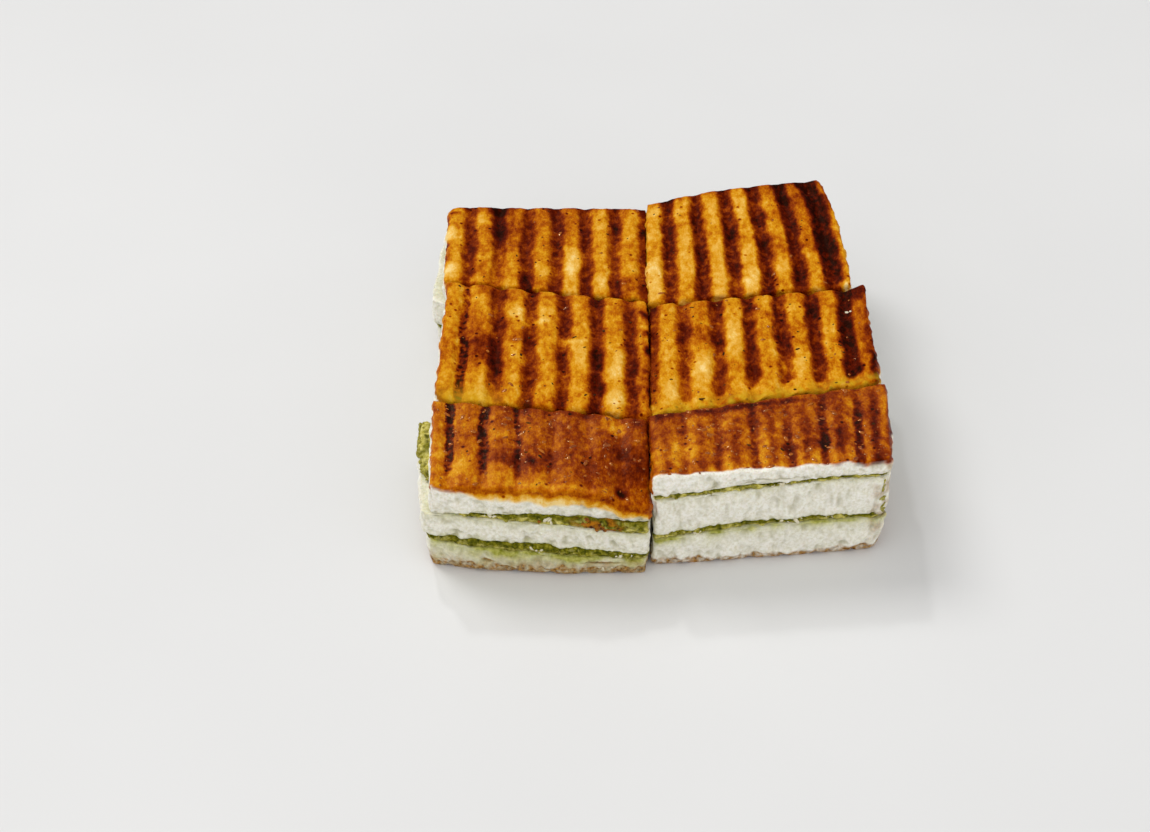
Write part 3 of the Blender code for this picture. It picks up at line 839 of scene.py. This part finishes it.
# "ribs" is the tone between the marks. Each mark has its darkness at the front, the middle and
# the back, and half its width. Each blotch has its distance from the left and the front, half
# its width and depth, and how much browner it is, or paler where that is less than zero.
# "edges" are browned by an amount, "raw_front" is the width of a strip that stayed raw, and
# "ghosts" is how strongly faint lines show at half the pitch near the front.
GRILLING = {
    "back_left": {
        "ribs": 0.36,
        "marks": (
            (0.75, 0.90, 0.70, 2.1), (0.55, 0.60, 0.80, 2.2), (1.00, 0.70, 0.50, 2.3),
            (0.90, 0.80, 0.70, 2.1), (0.90, 0.85, 0.60, 2.1), (0.90, 0.75, 0.75, 2.0),
            (1.00, 0.85, 0.80, 1.6),
        ),
        "blotches": (
            (17.5, 27.0, 7.0, 10.0, 0.26), (15.0, 38.5, 3.6, 3.0, 0.42),
            (23.0, 4.5, 3.0, 4.0, 0.22), (34.0, 31.0, 8.0, 8.0, 0.15),
            (49.0, 30.5, 1.6, 2.2, 0.40), (57.0, 29.5, 1.5, 2.0, 0.45),
            (52.0, 5.0, 4.0, 5.5, 0.20), (36.0, 12.0, 2.2, 6.5, -0.34),
            (44.5, 5.0, 2.4, 4.0, -0.26), (10.5, 35.0, 2.2, 7.0, -0.12),
            (46.0, 33.0, 2.4, 8.0, -0.14), (1.0, 25.0, 2.2, 3.5, -0.45),
            (2.0, 6.0, 2.4, 3.5, -0.35), (10.0, 8.0, 2.5, 7.0, 0.10), (9.0, 2.5, 1.6, 1.6, -0.3),
            (0.3, 31.0, 0.9, 2.4, 0.45), (0.2, 19.5, 0.8, 1.8, 0.45), (0.2, 12.5, 0.8, 1.5, 0.35),
            (3.0, 36.0, 2.2, 1.0, 0.30),
        ),
        "edges": {"back": 0.34, "left": 0.10},
    },
    "back_right": {
        "ribs": 0.32,
        "marks": (
            (1.00, 1.12, 1.00, 2.2), (1.05, 1.18, 1.00, 2.3), (1.05, 1.20, 1.00, 2.3),
            (1.05, 1.22, 1.10, 2.5), (1.00, 1.12, 1.05, 2.4), (1.25, 1.38, 1.25, 3.1),
        ),
        "blotches": (
            (3.0, 13.0, 3.0, 12.0, -0.16), (27.5, 6.0, 3.0, 6.0, -0.22),
            (19.5, 12.0, 2.6, 12.0, -0.08), (10.5, 14.0, 2.4, 10.0, -0.06),
            (20.0, 42.0, 1.8, 3.0, -0.10), (37.0, 30.0, 3.0, 16.0, 0.12),
            (45.5, 24.0, 3.4, 14.0, 0.18), (44.0, 42.0, 6.0, 7.0, 0.22),
            (53.5, 12.0, 2.2, 13.0, -0.08), (53.5, 38.0, 2.6, 12.0, 0.10),
            (51.5, 1.0, 1.8, 1.6, -0.45), (40.5, 8.0, 1.6, 2.5, 0.25),
        ),
        "edges": {"back": 0.36, "right": 0.12},
    },
    "middle_left": {
        "ribs": 0.385,
        "marks": (
            (0.95, 1.05, 0.62, 1.3), (0.30, 0.55, 0.45, 2.4), (0.78, 0.88, 0.80, 2.2),
            (0.90, 0.92, 0.88, 2.1), (1.02, 0.95, 0.88, 2.2), (0.85, 0.88, 0.80, 2.0),
        ),
        "blotches": (
            (10.5, 22.0, 4.6, 8.0, 0.34), (15.5, 16.0, 2.6, 7.0, 0.22),
            (15.0, 33.0, 5.0, 4.0, 0.20), (13.5, 47.0, 5.0, 4.0, 0.20),
            (26.0, 35.5, 4.0, 1.8, -0.30), (20.5, 40.0, 2.4, 5.0, -0.24),
            (12.0, 38.5, 1.8, 5.0, -0.12), (38.5, 25.0, 2.0, 7.0, -0.22),
            (48.0, 19.0, 2.0, 4.5, -0.26), (47.5, 6.0, 2.6, 5.0, -0.24),
            (40.5, 47.0, 4.0, 4.0, 0.12), (12.5, 5.5, 2.8, 5.0, -0.18),
            (3.0, 44.0, 2.5, 6.0, -0.08), (34.5, 28.0, 2.2, 1.6, -0.35),
            (42.5, 20.0, 2.0, 1.5, 0.20), (55.0, 43.0, 1.3, 1.6, 0.45),
            (55.2, 35.0, 1.0, 1.2, 0.40), (55.4, 27.0, 1.2, 2.2, 0.50),
            (55.6, 18.0, 1.1, 1.4, 0.40), (55.6, 9.0, 1.0, 2.0, 0.35),
        ),
        "edges": {"left": 0.10, "right": 0.22},
    },
    "middle_right": {
        "ribs": 0.375,
        "marks": (
            (0.45, 0.78, 0.86, 2.1), (0.62, 0.76, 0.86, 2.0), (0.62, 0.80, 0.92, 2.1),
            (0.90, 1.00, 1.04, 2.2), (0.84, 1.02, 1.06, 2.2), (1.00, 1.08, 1.06, 2.3),
            (1.25, 1.32, 1.25, 2.5),
        ),
        "blotches": (
            (14.5, 15.0, 2.8, 6.5, -0.26), (6.5, 7.0, 2.2, 3.0, -0.26),
            (22.5, 27.0, 2.6, 8.0, -0.22), (5.0, 38.0, 2.6, 8.0, -0.10),
            (13.5, 31.5, 4.0, 5.5, 0.18), (20.0, 9.0, 2.6, 6.0, 0.08),
            (27.0, 35.0, 2.2, 2.2, -0.25), (35.5, 13.0, 1.8, 3.0, -0.20),
            (58.0, 22.0, 2.0, 17.0, 0.16), (57.5, 41.0, 3.0, 3.5, 0.38),
            (59.0, 8.0, 1.0, 7.0, 0.40),
        ),
        "edges": {"right": 0.22},
        "raw_front": 4.6,
    },
    "front_left": {
        "ribs": 0.565,
        "marks": (
            (-0.40, 1.45, 1.35, 1.3), (-0.30, 1.25, 0.90, 1.3), (-0.10, 0.70, 0.50, 0.9),
            (0.05, 0.25, 0.15, 1.2), (0.05, 0.14, 0.15, 1.5), (0.10, 0.18, 0.15, 1.5),
        ),
        "blotches": (
            (50.0, 14.0, 9.0, 10.0, 0.14), (24.0, 10.0, 8.0, 3.0, 0.14),
            (25.5, 10.5, 1.6, 1.6, 0.36), (23.0, 29.5, 7.0, 1.6, 0.18),
            (36.0, 29.5, 4.0, 1.4, 0.18), (48.0, 4.5, 1.3, 1.5, 0.46),
            (29.5, 17.0, 2.2, 1.8, -0.22), (47.0, 26.5, 2.4, 3.2, -0.22),
            (6.5, 5.5, 2.6, 2.6, -0.20), (6.0, 18.0, 7.0, 16.0, -0.13),
            (20.0, 5.0, 16.0, 4.0, -0.10), (35.0, 2.0, 22.0, 1.6, -0.12),
            (38.0, 12.0, 6.0, 6.0, 0.06), (52.0, 29.0, 5.0, 2.4, 0.16),
        ),
        "edges": {},
    },
    "front_right": {
        "ribs": 0.575,
        "marks": (
            (0.05, 0.10, 0.10, 1.2), (0.12, 0.20, 0.08, 1.3), (0.34, 0.42, 0.16, 1.3),
            (0.36, 0.26, 0.06, 1.2), (0.34, 0.54, 0.18, 1.3), (0.38, 0.58, 0.20, 1.4),
        ),
        "blotches": (
            (43.8, 9.0, 1.5, 2.0, 0.45), (34.3, 8.0, 1.2, 2.0, 0.26), (39.0, 8.5, 3.0, 2.2, 0.12),
            (57.6, 11.0, 1.9, 13.0, 0.20), (60.4, 20.0, 1.6, 9.0, -0.16),
            (5.0, 9.0, 6.0, 8.0, -0.12), (30.0, 1.5, 30.0, 1.5, -0.10),
            (4.0, 27.5, 4.0, 2.4, 0.26), (16.0, 26.8, 9.0, 1.2, 0.20),
            (30.0, 26.8, 9.0, 1.2, 0.24), (58.5, 1.5, 2.5, 2.5, 0.20),
            (48.5, 12.0, 2.2, 8.0, 0.12),
        ),
        "edges": {"right": 0.15},
        "ghosts": 0.07,
    },
}
TOP_GRAIN = 0.34
TOP_TIERS = 20
TOP_WAVE = 0.35
TOP_WAVE_LENGTH = 21.0
RIM_WIDTH = 4.2
DROOP_WIDTH = 0.36
DROOP_DEPTH = 0.8
SWAY = 0.55
SWAY_LENGTH = 7.0
SWAY_SEED = 101.0
GROOVE_WIDENING = 1.5
GROOVE_END = 4.0


def top_height(piece, u, v):
    """Height of a piece's top between its grill marks."""
    width, _ = piece_size(piece)
    height = piece_height(piece, u, v)
    height += TOP_WAVE * plan_wave(flat_points(piece, u, v), TOP_WAVE_LENGTH, 3.7)
    rim = through_three(piece.get("rim", (0.0, 0.0, 0.0)), v)
    height += rim * ease((RIM_WIDTH - (1 - u) * width) / RIM_WIDTH)
    fall = ease((u - 1 + DROOP_WIDTH) / DROOP_WIDTH) * ease((DROOP_DEPTH - v) / DROOP_DEPTH)
    return height - piece.get("droop", 0.0) * fall


class TopSlice(Layer):
    """A top slice, whose marks sway and whose ribs are uneven."""

    def groove_depth(self):
        """Depth of the grill marks, soft and swaying, and fading at the back of the sandwich."""
        flat = np.stack((self.x, self.y, 0 * self.x), axis=1)
        sway = SWAY * uneven(flat, SWAY_LENGTH, SWAY_SEED)
        deep = 1 + 0.5 * uneven(flat, 6.0, 261.0)
        if "back" in self.name:
            deep = deep * (0.25 + 0.75 * ease((self.depth - self.y) / GROOVE_END))
        profile = mark_profile(self.piece, self.x + sway, GROOVE_WIDENING * self.mark_half)
        return self.piece["marks"][2] * deep * profile

    def upper_face(self, u, v):
        """Height of the toasted face, with its grill marks and rounded edges."""
        edges = np.maximum(rounding(self.from_side, EDGE_RADIUS), rounding(self.from_end, EDGE_RADIUS))
        return top_height(self.piece, u, v) - self.groove_depth() - edges


# The two kinds of mark: how much of the width is fully dark, how wide each side fades, how
# dark the mark is, and how much its beads add to that.
SOFT_MARK = (0.84, 1.15, 0.41, 0.08)
BEADED_LINE = (0.8, 0.45, 0.34, 0.30)
LINE_HALF = 1.5
EDGE_FADE = 1.3


def marks_tone(layer, grilling):
    """How much the grill marks darken a top, and how much its ribs do between them."""
    piece, points = layer.piece, layer.points
    first, pitch, _ = piece["marks"]
    sway = SWAY * uneven(points, SWAY_LENGTH, SWAY_SEED) + 0.18 * uneven(points, 2.3, 102.0)
    drawn_out = points * np.array((1.0, 0.6, 1.0))
    spread = 1 + 0.24 * uneven(drawn_out, 2.6, 111.0)
    broken = 1 + 0.22 * uneven(points, 4.2, 121.0)
    beads = ease(0.5 + uneven(points, 1.15, 131.0) / 0.35) - 0.4
    tone = grilling["ribs"] + 0.15 * uneven(points, 6.5, 141.0) + 0.11 * uneven(drawn_out, 1.7, 151.0)
    if "raw_front" in grilling:
        raw_edge = grilling["raw_front"] - 2.6 * uneven(points, 5.0, 261.0)
        broken = broken * (0.08 + 0.92 * ease((layer.y - raw_edge) / 1.8))
    for turn, (front, middle, back, half) in enumerate(grilling["marks"]):
        shown, soft, dark, beaded = BEADED_LINE if half < LINE_HALF else SOFT_MARK
        off_centre = np.abs(layer.x + sway - first - turn * pitch)
        inside = ease((shown * half * spread + soft - off_centre) / (2 * soft))
        strength = np.maximum(through_three((front, middle, back), layer.t) * broken, 0.0)
        tone += inside * strength * (dark + beaded * beads)
    if "ghosts" in grilling:
        wave = np.cos((layer.x + sway - first) / pitch * 4 * pi)
        tone += grilling["ghosts"] * wave * ease((28 - layer.y) / 8)
    return tone


def toasted_top(layer, grilling):
    """Tone of a grilled top at each vertex, from 0 for cream to 1 for near black."""
    points = layer.points
    tone = marks_tone(layer, grilling)
    fray_x = 1.1 * uneven(points, 2.6, 161.0)
    fray_y = 1.1 * uneven(points, 2.6, 171.0)
    for x, y, half_width, half_depth, amount in grilling["blotches"]:
        off = ((layer.x + fray_x - x) / half_width) ** 2 + ((layer.y + fray_y - y) / half_depth) ** 2
        tone += amount * np.exp(-off)
    raggedness = 1 + 1.1 * uneven(points, 3.0, 181.0)
    distances = {"left": layer.x, "right": layer.width - layer.x, "back": layer.depth - layer.y}
    for side, amount in grilling["edges"].items():
        tone += amount * np.exp(-distances[side] / EDGE_FADE) * raggedness
    return tone


buttered = make_bread("buttered toast", 0.09)

# How green each top slice is over the upper chutney, and how much of that soaked the cut.
PLAIN_TOP = (0.5, 0.05)
TOP_STAIN = {
    "front_left": (0.25, 0.03),
    "front_right": (0.15, 0.0),
}
PLAIN_BUTTER = 0.35
BUTTER = {
    "front_left": 1.0,
    "front_right": 0.9,
}
# How far down the toasting reached at the cuts. Along the front it is given from left to
# right, and below zero the crumb is bare up to that far behind the edge.
OUTER_SKIN = 0.75
INNER_SKIN = 4.5
LIPS = {
    "front_left": (-0.8, 2.9, 2.0),
    "front_right": (-1.1, -1.4, 0.8),
}


def skin_share(layer, down, front_wall):
    """1 on the toasted skin and 0 on the crumb under it."""
    ragged = 0.35 * layer.uneven(1.5, 231.0) + 0.5 * layer.uneven(5.0, 241.0)
    skin_depth = np.where(layer.outer_wall() > 0, OUTER_SKIN, INNER_SKIN)
    top_skin = (layer.h > 0.5).astype(float)
    if layer.name in LIPS:
        lip = through_three(LIPS[layer.name], layer.s)
        skin_depth = np.where(layer.t < ON_EDGE, lip, skin_depth)
        top_skin = top_skin * ease(0.5 + (layer.y + lip + 1.1 * ragged) / 0.8)
    wall_skin = ease(0.5 + (skin_depth + ragged - down) / (0.5 + 0.7 * front_wall))
    return np.where(layer.wall() > 0, wall_skin, top_skin)


def raw_share(layer, grilling):
    """How raw the top stayed: a strip along one front, or one front corner."""
    if "raw_front" in grilling:
        patchy = 0.75 + 1.6 * layer.uneven(1.6, 251.0)
        return 0.5 * ease(1.1 - layer.y / grilling["raw_front"]) * patchy
    if layer.name == "middle_left":
        return 0.5 * np.exp(-((layer.x - 7) / 9) ** 2 - (layer.y / 5) ** 2)
    return np.zeros(layer.count)


def top_relief(layer):
    """Pressed bubbles and swells of the toasted skin."""
    swells = 0.16 * layer.uneven(5.2, 201.0) + 0.10 * layer.uneven(1.9, 211.0)
    bubbles = 0.09 * layer.uneven(0.9, 221.0)
    return (swells + bubbles - 0.08) * (1 - layer.wall()) * (layer.h > 0.5)


for name in PIECES:
    grilling = GRILLING[name]
    slice_ = TopSlice(name, 4, (TOP_GRAIN, TOP_GRAIN, TOP_TIERS))
    down = (1 - slice_.h) * slice_.thickness
    front_wall = slice_.outer_wall() * (slice_.t < 0.5)
    paler_below = front_wall * (0.22 * ease(down / 1.0) + 0.24 * ease((down - 0.8) / 1.2))
    below, soaked = TOP_STAIN.get(name, PLAIN_TOP)
    slice_.note("skin", skin_share(slice_, down, front_wall))
    slice_.note("crust", browned_corner(slice_) * slice_.wall())
    slice_.note("toast", toasted_top(slice_, grilling) - paler_below)
    slice_.note("stain", stained(slice_, below, 0.0, soaked))
    slice_.note("raw", raw_share(slice_, grilling))
    slice_.note("butter", np.full(slice_.count, BUTTER.get(name, PLAIN_BUTTER)))
    slice_.swell(crumb_relief(slice_, 1.3) + top_relief(slice_))
    slice_.finish("top_slice", buttered if "front" in name else bread, "toasted_bread")
    layers[name, 4] = slice_


# Butter that beaded on the hot toast. Small golden domes of it stand on the front pieces most
# of all, where they catch the light of the window.

LUMP_SINK = 0.1
LUMP_STRETCH = 1.4
LUMP_SWELL = 0.5
LUMP_SWELL_LENGTH = 0.9


def stick_on(bits, layer, place, radius, flat, draw, faces=2):
    """Add a small uneven lump, half sunk in a layer at one of its vertices."""
    normal = np.empty(layer.count * 3, np.float32)
    layer.mesh.vertices.foreach_get("normal", normal)
    normal = normal.reshape(-1, 3)[place]
    turn = Vector(normal.tolist()).to_track_quat("Z", "Y").to_matrix().to_4x4()
    spin = Matrix.Rotation(draw.random() * 2 * pi, 4, "Z")
    long = 1 + LUMP_STRETCH * draw.random()
    scale = Matrix.Diagonal((radius * long, radius, radius * flat, 1.0))
    centre = Vector((layer.points[place] - LUMP_SINK * radius * normal).tolist())
    matrix = Matrix.Scale(MM, 4) @ Matrix.Translation(centre) @ turn @ spin @ scale
    lump = bmesh.ops.create_icosphere(bits, subdivisions=faces, radius=1.0, matrix=matrix)
    for vert in lump["verts"]:
        swell = 1 + LUMP_SWELL * noise.noise(vert.co / (LUMP_SWELL_LENGTH * radius * MM))
        vert.co = centre * MM + (vert.co - centre * MM) * swell


CLEAR_SIDE = 1.5
CLEAR_END = 1.0


def lay_on_tops(counts, size, flat, seed, faces=2):
    """Small lumps scattered over the tops of pieces, as one mesh."""
    draw = random.Random(seed)
    bits = bmesh.new()
    for name, count in counts.items():
        top = layers[name, 4]
        clear = (top.from_side > CLEAR_SIDE) & (top.from_end > CLEAR_END)
        places = np.flatnonzero((top.h > 1 - ON_EDGE) & clear)
        for _ in range(count):
            place = places[draw.randrange(len(places))]
            stick_on(bits, top, place, between(*size, draw.random() ** 2) / 2, flat, draw, faces)
    return bits


def finish_bits(bits, title, material, pale=None):
    """Make one piece of scattered bits, inside the box of the CAD model."""
    low, high = (Vector(corner) for corner in cad_box)
    for vert in bits.verts:
        for axis in range(3):
            vert.co[axis] = min(max(vert.co[axis], low[axis]), high[axis])
    mesh = bpy.data.meshes.new(title)
    bits.to_mesh(mesh)
    bits.free()
    mesh.polygons.foreach_set("use_smooth", np.ones(len(mesh.polygons), bool))
    mesh.materials.append(material)
    if pale is not None:
        smear_and_shade = mesh.attributes.new("smear_and_shade", "FLOAT", "POINT")
        smear_and_shade.data.foreach_set("value", np.full(len(mesh.vertices), pale, np.float32))
    piece = bpy.data.objects.new(title, mesh)
    bpy.context.scene.collection.objects.link(piece)
    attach(piece, "root")


def mottled(title, size, stops, roughness, gloss=0.5, tint=(1.0, 1.0, 1.0)):
    """A material that wanders between two colours, in patches of a size in millimetres."""
    nodes = Nodes(title)
    nodes.wire(nodes.ramp(nodes.speckle(size), stops), nodes.shader, "Base Color")
    nodes.wire(roughness, nodes.shader, "Roughness")
    nodes.gloss(gloss, tint)
    return nodes.material


GOLDEN = ((0.35, srgb(120, 44, 1)), (0.65, srgb(180, 98, 8)))
BEAD_SIZES = (0.3, 1.2)
BEAD_FLATNESS = 0.40
bead_counts = {
    "front_left": 150,
    "front_right": 190,
    "middle_left": 25,
    "middle_right": 35,
    "back_right": 12,
    "back_left": 12,
}
butter = mottled("melted butter", 2.5, GOLDEN, 0.12, gloss=0.7, tint=(1.0, 0.8, 0.5))
beads = lay_on_tops(bead_counts, BEAD_SIZES, BEAD_FLATNESS, seed=5)
finish_bits(beads, "butter_beads", butter)


# Flecks on the toast. Bits of leaf and spice from the chutney, which stuck to the grill and
# were scorched on to the tops.

DARK_LEAF = ((0.35, srgb(36, 14, 3)), (0.65, srgb(86, 50, 10)))
FLECK_SIZES = (0.3, 0.85)
FLECK_FLATNESS = 0.30
fleck_counts = {
    "front_left": 22,
    "front_right": 16,
    "middle_left": 46,
    "middle_right": 50,
    "back_right": 14,
    "back_left": 22,
}
scorched_leaf = mottled("scorched leaf", 1.0, DARK_LEAF, 0.7, gloss=0.1)
flecks = lay_on_tops(fleck_counts, FLECK_SIZES, FLECK_FLATNESS, seed=11, faces=1)
finish_bits(flecks, "leaf_flecks", scorched_leaf)


# Loose chutney. Lumps of the paste that the knife dragged down over the front cuts, the clumps
# on the left of the front left piece, and smears at the front right corner.

LUMP_FLATNESS = 0.6

# In a search for a place, the whole height of a layer counts as TIER_REACH millimetres, and
# lying on another face as ELSEWHERE more.
TIER_REACH = 8
ELSEWHERE = 100


def on_front(layer, x, height):
    """The vertex of a layer's front cut nearest to a place, with a height from 0 to 1."""
    off = np.abs(layer.x - x) + TIER_REACH * np.abs(layer.h - height)
    return int(np.argmin(off + ELSEWHERE * (layer.t > ON_EDGE)))


def on_left(layer, y, height):
    """The vertex of a layer's left cut nearest to a place, with a height from 0 to 1."""
    off = np.abs(layer.y - y) + TIER_REACH * np.abs(layer.h - height)
    return int(np.argmin(off + ELSEWHERE * (layer.s > ON_EDGE)))


def on_top(layer, x, y):
    """The vertex of a layer's upper face nearest to a place."""
    off = np.abs(layer.x - x) + np.abs(layer.y - y)
    return int(np.argmin(off + ELSEWHERE * (layer.h < 1 - ON_EDGE)))


DRAGGED_SIZES = (0.4, 1.3)
DRAGGED_FROM, DRAGGED_TO = 2.0, 52.0
drag_counts = {
    ("front_left", 1): 26,
    ("front_left", 3): 18,
    ("front_right", 1): 26,
    ("front_right", 3): 20,
}
drag_draw = random.Random(3)
dragged = bmesh.new()
for cut, count in drag_counts.items():
    paste = layers[cut]
    for _ in range(count):
        place = on_front(paste, drag_draw.uniform(DRAGGED_FROM, DRAGGED_TO), drag_draw.random() ** 2)
        radius = between(*DRAGGED_SIZES, drag_draw.random() ** 2) / 2
        stick_on(dragged, paste, place, radius, LUMP_FLATNESS, drag_draw)
finish_bits(dragged, "dragged_chutney", chutney, pale=0.35)

CLUMP_COUNT = 70
CLUMP_FLATNESS = 0.8
SMEAR_COUNT = 16
SMEAR_PLACE = 61.0
ledge_draw = random.Random(8)
ledge = bmesh.new()
paste = layers["front_left", 3]
for _ in range(CLUMP_COUNT):
    place = on_left(paste, ledge_draw.uniform(3.0, 32.0), ledge_draw.random())
    stick_on(ledge, paste, place, ledge_draw.uniform(0.25, 0.8), CLUMP_FLATNESS, ledge_draw)
crumb = layers["front_right", 2]
for _ in range(SMEAR_COUNT):
    place = on_front(crumb, SMEAR_PLACE, ledge_draw.uniform(0.1, 1.0))
    stick_on(ledge, crumb, place, ledge_draw.uniform(0.2, 0.5), LUMP_FLATNESS, ledge_draw)
finish_bits(ledge, "chutney_at_sides", chutney, pale=0.45)


# Scorched chutney. The grill browned the paste that ran out at the front of the front left
# piece, and left small crusts of it there.

SCORCHED_BROWN = ((0.38, srgb(62, 24, 2)), (0.62, srgb(172, 104, 16)))
CRUST_FLATNESS = 0.45
# Each crust: how far it is from the left, how high in the layer, and its radius.
CRUSTS = (
    (36.6, 0.70, 0.85),
    (38.4, 0.15, 0.75),
    (40.4, 0.10, 0.85),
    (42.2, 0.20, 0.55),
    (44.4, 0.10, 0.60),
    (46.8, 0.30, 0.50),
    (24.0, 0.55, 0.45),
)
paste = layers["front_left", 3]
crust_draw = random.Random(21)
crusts = bmesh.new()
for x, height, radius in CRUSTS:
    stick_on(crusts, paste, on_front(paste, x, height), radius, CRUST_FLATNESS, crust_draw)
scorched = mottled("scorched chutney", 1.2, SCORCHED_BROWN, 0.5, gloss=0.15)
finish_bits(crusts, "scorched_chutney", scorched)


# Crumbs of the white bread, torn loose by the knife and caught at the cuts, and one flake of
# them on a top.

OFF_WHITE = ((0.35, srgb(200, 190, 156)), (0.65, srgb(232, 226, 204)))
CRUMB_FLATNESS = 0.6
# Each cluster: its layer, how far from the left, how high in the layer, and how many crumbs.
CRUMB_CLUSTERS = (
    (("front_left", 1), 28.0, 0.3, 5),
    (("front_left", 1), 49.0, 0.4, 6),
    (("front_left", 3), 26.5, 0.3, 8),
    (("front_left", 3), 9.0, 0.8, 3),
    (("front_left", 0), 44.0, 0.3, 4),
    (("front_right", 1), 12.0, 0.2, 3),
    (("front_right", 1), 36.0, 0.7, 6),
    (("front_right", 1), 47.0, 0.6, 4),
    (("front_right", 3), 33.0, 0.4, 4),
)
FLAKE_PLACE = (54.6, 33.0)
FLAKE_FLATNESS = 0.5
FLAKE_COUNT = 3
crumb_draw = random.Random(34)
crumbs = bmesh.new()
for cut, x, height, number in CRUMB_CLUSTERS:
    for _ in range(number):
        place = on_front(layers[cut], crumb_draw.gauss(x, 1.1), height + crumb_draw.uniform(-0.3, 0.3))
        stick_on(crumbs, layers[cut], place, crumb_draw.uniform(0.15, 0.55), CRUMB_FLATNESS, crumb_draw)
toast = layers["middle_right", 4]
for _ in range(FLAKE_COUNT):
    x = crumb_draw.gauss(FLAKE_PLACE[0], 0.4)
    y = crumb_draw.gauss(FLAKE_PLACE[1], 0.4)
    stick_on(crumbs, toast, on_top(toast, x, y), crumb_draw.uniform(0.25, 0.55), FLAKE_FLATNESS, crumb_draw)
finish_bits(crumbs, "loose_crumbs", mottled("loose white crumb", 0.7, OFF_WHITE, 0.9))


# The floor, the light and the camera. A plain pale surface stands just clear of the underside,
# lit softly from behind and from the left, and is seen at the angle of the photograph.

FLOOR_GAP = 0.0001
FLOOR_HALF = 3.0
PALE_GREY = ((0.3, srgb(221, 222, 223)), (0.7, srgb(225, 226, 227)))


def make_floor():
    """A pale, slightly uneven tabletop."""
    top = bmesh.new()
    bmesh.ops.create_grid(top, x_segments=8, y_segments=8, size=FLOOR_HALF)
    bmesh.ops.translate(top, verts=top.verts, vec=(0.0, 0.0, -FLOOR_GAP))
    mesh = bpy.data.meshes.new("tabletop")
    top.to_mesh(mesh)
    top.free()
    mesh.materials.append(mottled("pale tabletop", 180.0, PALE_GREY, 0.6))
    floor = bpy.data.objects.new("tabletop", mesh)
    bpy.context.scene.collection.objects.link(floor)


def shine(title, energy, width, tilt, roll, colour=(1.0, 1.0, 1.0)):
    """A sun of a width, a tilt and a roll in degrees."""
    light = bpy.data.lights.new(title, "SUN")
    light.energy = energy
    light.angle = radians(width)
    light.color = colour
    sun = bpy.data.objects.new(title, light)
    sun.rotation_euler = (radians(tilt), radians(roll), 0.0)
    bpy.context.scene.collection.objects.link(sun)


ROOM_FRONT = 0.95
ROOM_BACK = 0.35
BACKDROP = 0.8


def make_room():
    """Pale surroundings, brighter in front than behind, and plain where the camera sees them."""
    world = bpy.data.worlds.new("pale room")
    world.use_nodes = True
    tree = world.node_tree
    sky = tree.nodes["Background"]
    sky.inputs["Color"].default_value = (1.0, 0.985, 0.965, 1.0)
    towards = tree.nodes.new("ShaderNodeTexCoord")
    parts = tree.nodes.new("ShaderNodeSeparateXYZ")
    shade = tree.nodes.new("ShaderNodeMapRange")
    shade.inputs["From Min"].default_value = -0.2
    shade.inputs["From Max"].default_value = 0.6
    shade.inputs["To Min"].default_value = ROOM_FRONT
    shade.inputs["To Max"].default_value = ROOM_BACK
    seen = tree.nodes.new("ShaderNodeLightPath")
    backdrop = tree.nodes.new("ShaderNodeMath")
    backdrop.operation = "MULTIPLY"
    backdrop.inputs[1].default_value = BACKDROP
    strength = tree.nodes.new("ShaderNodeMath")
    strength.operation = "MAXIMUM"
    tree.links.new(towards.outputs["Generated"], parts.inputs["Vector"])
    tree.links.new(parts.outputs["Y"], shade.inputs["Value"])
    tree.links.new(seen.outputs["Is Camera Ray"], backdrop.inputs[0])
    tree.links.new(shade.outputs["Result"], strength.inputs[0])
    tree.links.new(backdrop.outputs["Value"], strength.inputs[1])
    tree.links.new(strength.outputs["Value"], sky.inputs["Strength"])
    bpy.context.scene.world = world


CAMERA_PLACE = (-0.020397, -0.384477, 0.330868)
CAMERA_PITCH = 41.0
FOCAL_LENGTH = 56.35
SENSOR_WIDTH = 36.0


def place_camera():
    """A camera that looks level across and down at the sandwich."""
    lens = bpy.data.cameras.new("camera")
    lens.sensor_width = SENSOR_WIDTH
    lens.lens = FOCAL_LENGTH
    lens.clip_start = 0.01
    camera = bpy.data.objects.new("camera", lens)
    camera.location = CAMERA_PLACE
    camera.rotation_euler = (radians(90 - CAMERA_PITCH), 0.0, 0.0)
    bpy.context.scene.collection.objects.link(camera)
    bpy.context.scene.camera = camera


make_floor()
shine("window", 1.2, 24, -28, -36, colour=(1.0, 0.985, 0.96))
shine("bright pane", 0.35, 4, -40.5, -19)
make_room()
place_camera()
bpy.context.scene.view_settings.view_transform = "Standard"
